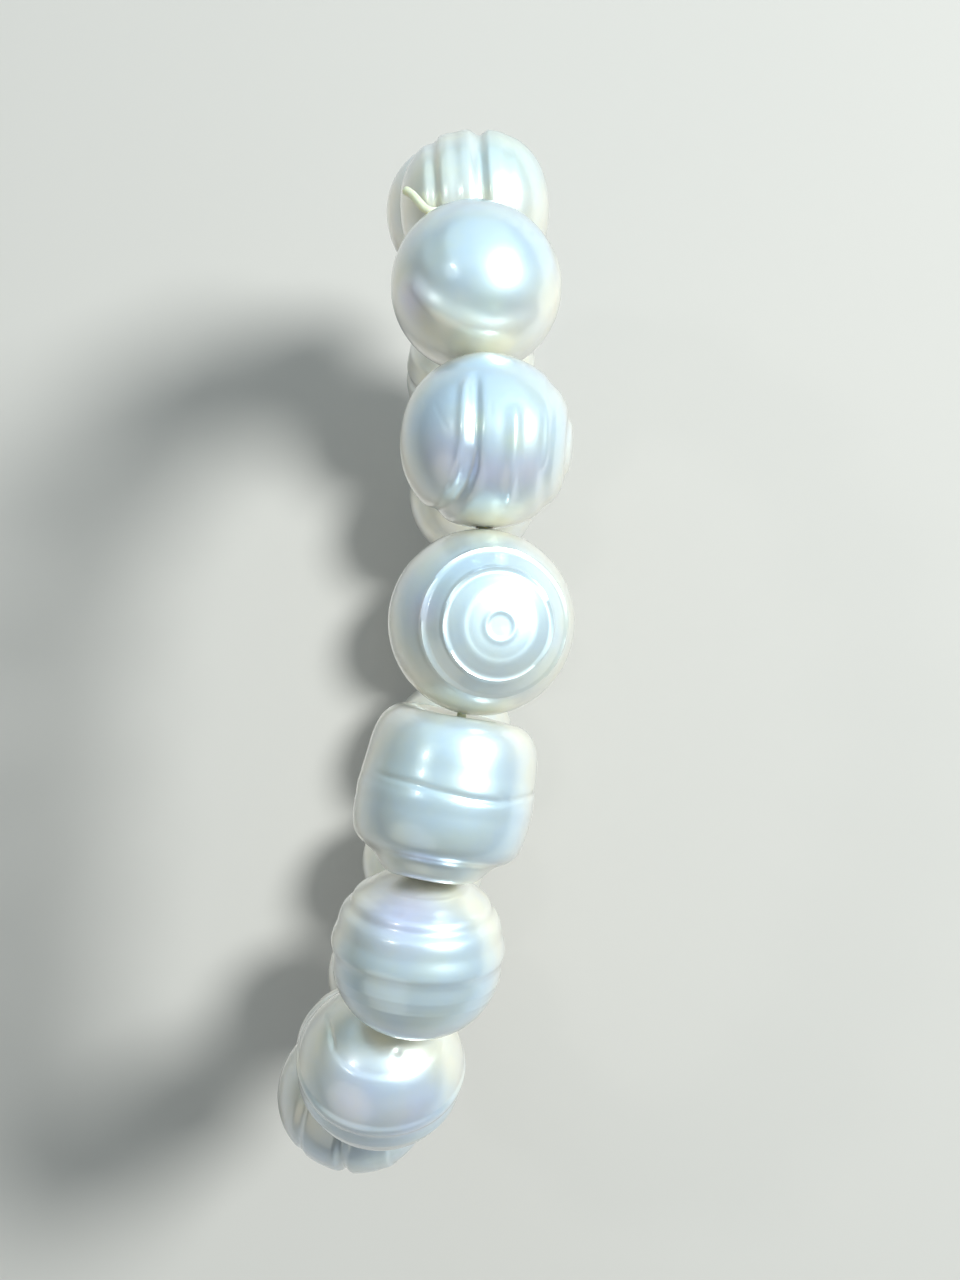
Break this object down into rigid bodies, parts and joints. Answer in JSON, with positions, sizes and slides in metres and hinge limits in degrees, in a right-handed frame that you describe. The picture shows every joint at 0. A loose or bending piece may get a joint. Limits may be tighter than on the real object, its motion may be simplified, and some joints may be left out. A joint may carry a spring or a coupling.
{
  "type": "pearl bracelet",
  "caption": "Stretch bracelet of drilled, ringed baroque pearls threaded on one knotted elastic cord, kept in the upright oval it takes round a wrist.",
  "frame": {"origin": "middle of the loop, on the axis of the wrist that wears it", "axes": "+X along the wrist towards the hand, +Y across the wrist, along the loop's longer width, +Z out of the back of the wrist"},
  "size_m": [0.0209, 0.0772, 0.0614],
  "materials": {
    "pearl": "lustrous white nacre with faint blue, lilac and cream overtones",
    "elastic": "pale, slightly translucent stretch cord"
  },
  "bodies": {
    "root": {"pearl_01": "pearl", "pearl_02": "pearl", "pearl_03": "pearl", "pearl_04": "pearl", "pearl_05": "pearl", "pearl_06": "pearl", "pearl_07": "pearl", "pearl_08": "pearl", "pearl_09": "pearl", "pearl_10": "pearl", "pearl_11": "pearl", "pearl_12": "pearl", "pearl_13": "pearl", "pearl_14": "pearl", "pearl_15": "pearl", "pearl_16": "pearl", "pearl_17": "pearl", "elastic_cord": "elastic"}
  },
  "joints": []
}
